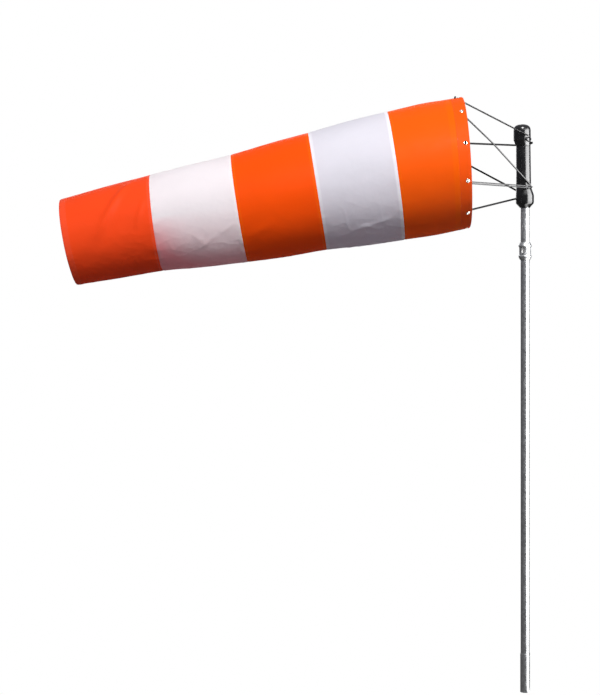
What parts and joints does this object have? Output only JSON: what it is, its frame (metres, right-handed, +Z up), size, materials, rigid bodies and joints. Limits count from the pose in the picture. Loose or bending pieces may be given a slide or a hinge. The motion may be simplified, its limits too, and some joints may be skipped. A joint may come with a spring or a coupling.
{
  "type": "windsock on pole",
  "caption": "Striped fabric windsock with a wire hoop mouth, tied by bridle lines to a swivelling head on a jointed steel pole.",
  "frame": {"origin": "on the pole's axis at the bottom end of its visible tube", "axes": "+Z up the pole; the sock streams towards -X; +X is upwind; -Y is the near side, where the lower knot and the upper eye sit"},
  "size_m": [1.7975, 0.5004, 2.2668],
  "materials": {
    "galvanised_steel": "dull zinc coating, weathered, with brighter edges",
    "bright_steel": "plain bright steel",
    "bronze": "machined, oiled",
    "black_moulding": "glossy black moulding with fine scratches",
    "black_wire": "black coated wire",
    "black_cord": "braided cord",
    "grey_cord": "braided cord, light grey",
    "eyelet_metal": "nickel-plated brass, polished",
    "orange_fabric": "coated woven nylon, orange, slightly translucent",
    "white_fabric": "coated woven nylon, white, slightly translucent",
    "red_orange_fabric": "coated woven nylon, red-orange, slightly translucent"
  },
  "bodies": {
    "mast": {"mast_lower_tube": "galvanised_steel", "mast_foot_sleeve": "galvanised_steel", "mast_upper_tube": "galvanised_steel", "pole_coupling": "galvanised_steel", "coupling_screw_upper": "bright_steel", "coupling_screw_lower": "bright_steel", "spindle": "bright_steel", "spindle_pin": "bright_steel", "thrust_washer": "bronze", "retaining_collar": "bright_steel", "collar_grub_screw": "bright_steel"},
    "head": {"head_sleeve": "black_moulding", "head_bell": "black_moulding", "head_cap": "black_moulding", "lower_bush": "bronze", "upper_bush": "bronze", "cap_screw_near": "bright_steel", "cap_screw_far": "bright_steel", "bell_screw_near": "bright_steel", "bell_screw_far": "bright_steel", "upper_eye": "black_wire", "upper_knot": "black_cord", "lower_knot": "grey_cord", "rear_knot": "black_cord"},
    "mouth": {"mouth_hoop": "bright_steel", "mouth_hem": "orange_fabric", "band_1": "orange_fabric", "eyelet_1": "eyelet_metal", "eyelet_2": "eyelet_metal", "eyelet_3": "eyelet_metal", "eyelet_4": "eyelet_metal", "eyelet_5": "eyelet_metal", "eyelet_6": "eyelet_metal", "eyelet_7": "eyelet_metal", "eyelet_8": "eyelet_metal", "eyelet_9": "eyelet_metal", "eyelet_10": "eyelet_metal", "eyelet_11": "eyelet_metal", "line_top": "black_cord", "line_near_upper": "black_cord", "line_high": "black_cord", "line_near_lower_1": "grey_cord", "line_near_lower_2": "grey_cord", "line_far": "black_cord", "line_low": "black_cord", "knot_top": "black_cord", "knot_near_upper": "black_cord", "knot_high": "black_cord", "knot_near_lower": "grey_cord", "knot_low": "black_cord", "knot_far": "black_cord"},
    "band_2": {"band_2": "white_fabric"},
    "band_3": {"band_3": "orange_fabric"},
    "band_4": {"band_4": "white_fabric"},
    "band_5": {"band_5": "red_orange_fabric", "tail_hem": "red_orange_fabric"}
  },
  "joints": [
    {"name": "head_swivel", "type": "hinge", "parent": "mast", "child": "head", "pos_m": [0, 0, 1.95], "axis": [0, 0, 1], "continuous": true},
    {"name": "mouth_swing", "type": "hinge", "parent": "head", "child": "mouth", "pos_m": [0, 0, 2.096], "axis": [0, -1, 0], "range_deg": [0, 25], "stiffness_Nm_per_rad": 15, "springref_deg": -19.6, "deforming": ["line_top", "line_near_upper", "line_high", "line_near_lower_1", "line_near_lower_2", "line_far", "line_low"]},
    {"name": "band_2_droop", "type": "hinge", "parent": "mouth", "child": "band_2", "pos_m": [-0.5265, 0, 2.2071], "axis": [0, -1, 0], "range_deg": [-3, 8], "stiffness_Nm_per_rad": 5.9, "springref_deg": -19.94},
    {"name": "band_3_droop", "type": "hinge", "parent": "band_2", "child": "band_3", "pos_m": [-0.8264, 0, 2.1271], "axis": [0, -1, 0], "range_deg": [-3, 8], "stiffness_Nm_per_rad": 3.3, "springref_deg": -19.6},
    {"name": "band_4_droop", "type": "hinge", "parent": "band_3", "child": "band_4", "pos_m": [-1.1186, 0, 2.0434], "axis": [0, -1, 0], "range_deg": [-3, 8], "stiffness_Nm_per_rad": 1.5, "springref_deg": -19.48},
    {"name": "band_5_droop", "type": "hinge", "parent": "band_4", "child": "band_5", "pos_m": [-1.4243, 0, 1.966], "axis": [0, -1, 0], "range_deg": [-3, 8], "stiffness_Nm_per_rad": 0.4, "springref_deg": -18.91}
  ]
}
